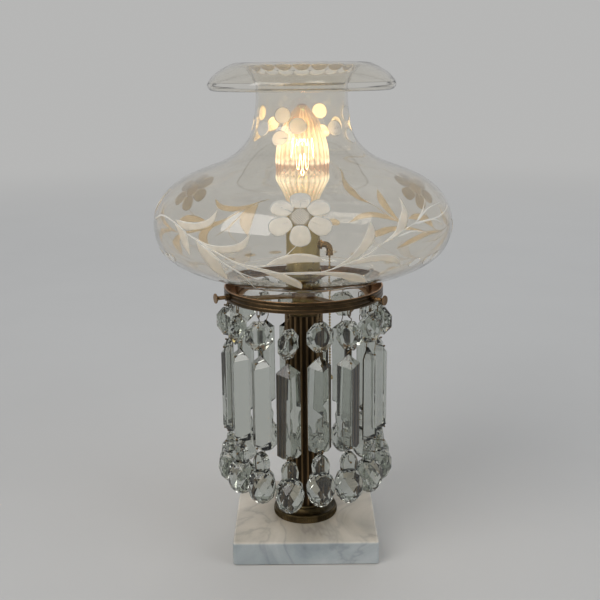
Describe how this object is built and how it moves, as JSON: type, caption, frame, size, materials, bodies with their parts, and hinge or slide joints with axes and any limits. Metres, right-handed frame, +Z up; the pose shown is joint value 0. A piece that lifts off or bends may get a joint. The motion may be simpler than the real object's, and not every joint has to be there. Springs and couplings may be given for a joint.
{
  "type": "table lamp",
  "caption": "Table lamp with a marble foot slab, fluted brass column, brass gallery hung with crystal drops, pull-chain socket and a wheel-cut clear glass shade.",
  "frame": {"origin": "centre of the felt's underside, on the lamp's upright axis", "axes": "+Z up the column, -Y towards the front, +X towards the pull chain"},
  "size_m": [0.3057, 0.3057, 0.5093],
  "materials": {
    "felt": "matt felt",
    "marble": "polished, grey clouds and veins",
    "bushing": "moulded",
    "steel": "zinc plated",
    "antique_brass": "antique, darkened in the hollows",
    "gallery_brass": "antique, rubbed bright on the edges",
    "brass_wire": "darkened",
    "socket_brass": "satin lacquer",
    "liner": "plain",
    "moulding": "moulded",
    "contact_metal": "bright",
    "chain_metal": "polished",
    "bulb_glass": "clear with a thin lustre",
    "filament": "lit",
    "shade_glass": "clear, wheel-cut ornament",
    "crystal": "cut and polished"
  },
  "bodies": {
    "stand": {"felt_pad": "felt", "marble_base": "marble", "cord_bushing": "bushing", "lamp_pipe": "steel", "foot_flange": "antique_brass", "column_shaft": "antique_brass", "column_cap": "antique_brass", "column_neck": "antique_brass", "gallery_spider": "gallery_brass", "gallery_ring": "gallery_brass", "hook_eyes": "brass_wire", "socket_cap": "socket_brass", "socket_shell": "socket_brass", "socket_liner": "liner", "switch_body": "moulding", "socket_contacts": "contact_metal", "chain_guide": "socket_brass"},
    "shade": {"shade_fitter": "shade_glass", "shade_bowl": "shade_glass", "shade_shoulder": "shade_glass", "shade_neck": "shade_glass"},
    "bulb": {"bulb_base": "contact_metal", "bulb_envelope": "bulb_glass", "bulb_filament": "filament"},
    "chain": {"pull_chain": "chain_metal"},
    "screw_left": {"thumb_screw_left": "gallery_brass"},
    "screw_right": {"thumb_screw_right": "gallery_brass"},
    "screw_rear": {"thumb_screw_rear": "gallery_brass"},
    "strand_01": {"crystals_01": "crystal", "pins_01": "brass_wire"},
    "strand_02": {"crystals_02": "crystal", "pins_02": "brass_wire"},
    "strand_03": {"crystals_03": "crystal", "pins_03": "brass_wire"},
    "strand_04": {"crystals_04": "crystal", "pins_04": "brass_wire"},
    "strand_05": {"crystals_05": "crystal", "pins_05": "brass_wire"},
    "strand_06": {"crystals_06": "crystal", "pins_06": "brass_wire"},
    "strand_07": {"crystals_07": "crystal", "pins_07": "brass_wire"},
    "strand_08": {"crystals_08": "crystal", "pins_08": "brass_wire"},
    "strand_09": {"crystals_09": "crystal", "pins_09": "brass_wire"},
    "strand_10": {"crystals_10": "crystal", "pins_10": "brass_wire"},
    "strand_11": {"crystals_11": "crystal", "pins_11": "brass_wire"},
    "strand_12": {"crystals_12": "crystal", "pins_12": "brass_wire"},
    "strand_13": {"crystals_13": "crystal", "pins_13": "brass_wire"},
    "strand_14": {"crystals_14": "crystal", "pins_14": "brass_wire"},
    "strand_15": {"crystals_15": "crystal", "pins_15": "brass_wire"},
    "strand_16": {"crystals_16": "crystal", "pins_16": "brass_wire"}
  },
  "joints": [
    {"name": "shade_lift", "type": "slide", "parent": "stand", "child": "shade", "axis": [0, 0, 1], "range_m": [0, 0.3]},
    {"name": "bulb_lift", "type": "slide", "parent": "stand", "child": "bulb", "axis": [0, 0, 1], "range_m": [0, 0.18]},
    {"name": "chain_pull", "type": "slide", "parent": "stand", "child": "chain", "axis": [0, 0, -1], "range_m": [0, 0.008], "stiffness_N_per_m": 300, "springref_m": -0.001},
    {"name": "screw_left_out", "type": "slide", "parent": "stand", "child": "screw_left", "axis": [-0.9063, -0.4226, 0], "range_m": [0, 0.006]},
    {"name": "screw_right_out", "type": "slide", "parent": "stand", "child": "screw_right", "axis": [0.8192, -0.5736, 0], "range_m": [0, 0.006]},
    {"name": "screw_rear_out", "type": "slide", "parent": "stand", "child": "screw_rear", "axis": [0.0872, 0.9962, 0], "range_m": [0, 0.006]},
    {"name": "strand_01_swing", "type": "hinge", "parent": "stand", "child": "strand_01", "pos_m": [0.01569, -0.07885, 0.2657], "axis": [-0.9808, -0.1951, 0], "range_deg": [-0.75, 50]},
    {"name": "strand_02_swing", "type": "hinge", "parent": "stand", "child": "strand_02", "pos_m": [0.04467, -0.06685, 0.2657], "axis": [-0.8315, -0.5556, 0], "range_deg": [-0.75, 50]},
    {"name": "strand_03_swing", "type": "hinge", "parent": "stand", "child": "strand_03", "pos_m": [0.06685, -0.04467, 0.2657], "axis": [-0.5556, -0.8315, 0], "range_deg": [-0.75, 50]},
    {"name": "strand_04_swing", "type": "hinge", "parent": "stand", "child": "strand_04", "pos_m": [0.07885, -0.01569, 0.2657], "axis": [-0.1951, -0.9808, 0], "range_deg": [-0.75, 50]},
    {"name": "strand_05_swing", "type": "hinge", "parent": "stand", "child": "strand_05", "pos_m": [0.07885, 0.01569, 0.2657], "axis": [0.1951, -0.9808, 0], "range_deg": [-0.75, 50]},
    {"name": "strand_06_swing", "type": "hinge", "parent": "stand", "child": "strand_06", "pos_m": [0.06685, 0.04467, 0.2657], "axis": [0.5556, -0.8315, 0], "range_deg": [-0.75, 50]},
    {"name": "strand_07_swing", "type": "hinge", "parent": "stand", "child": "strand_07", "pos_m": [0.04467, 0.06685, 0.2657], "axis": [0.8315, -0.5556, 0], "range_deg": [-0.75, 50]},
    {"name": "strand_08_swing", "type": "hinge", "parent": "stand", "child": "strand_08", "pos_m": [0.01569, 0.07885, 0.2657], "axis": [0.9808, -0.1951, 0], "range_deg": [-0.75, 50]},
    {"name": "strand_09_swing", "type": "hinge", "parent": "stand", "child": "strand_09", "pos_m": [-0.01569, 0.07885, 0.2657], "axis": [0.9808, 0.1951, 0], "range_deg": [-0.75, 50]},
    {"name": "strand_10_swing", "type": "hinge", "parent": "stand", "child": "strand_10", "pos_m": [-0.04467, 0.06685, 0.2657], "axis": [0.8315, 0.5556, 0], "range_deg": [-0.75, 50]},
    {"name": "strand_11_swing", "type": "hinge", "parent": "stand", "child": "strand_11", "pos_m": [-0.06685, 0.04467, 0.2657], "axis": [0.5556, 0.8315, 0], "range_deg": [-0.75, 50]},
    {"name": "strand_12_swing", "type": "hinge", "parent": "stand", "child": "strand_12", "pos_m": [-0.07885, 0.01569, 0.2657], "axis": [0.1951, 0.9808, 0], "range_deg": [-0.75, 50]},
    {"name": "strand_13_swing", "type": "hinge", "parent": "stand", "child": "strand_13", "pos_m": [-0.07885, -0.01569, 0.2657], "axis": [-0.1951, 0.9808, 0], "range_deg": [-0.75, 50]},
    {"name": "strand_14_swing", "type": "hinge", "parent": "stand", "child": "strand_14", "pos_m": [-0.06685, -0.04467, 0.2657], "axis": [-0.5556, 0.8315, 0], "range_deg": [-0.75, 50]},
    {"name": "strand_15_swing", "type": "hinge", "parent": "stand", "child": "strand_15", "pos_m": [-0.04467, -0.06685, 0.2657], "axis": [-0.8315, 0.5556, 0], "range_deg": [-0.75, 50]},
    {"name": "strand_16_swing", "type": "hinge", "parent": "stand", "child": "strand_16", "pos_m": [-0.01569, -0.07885, 0.2657], "axis": [-0.9808, 0.1951, 0], "range_deg": [-0.75, 50]}
  ]
}
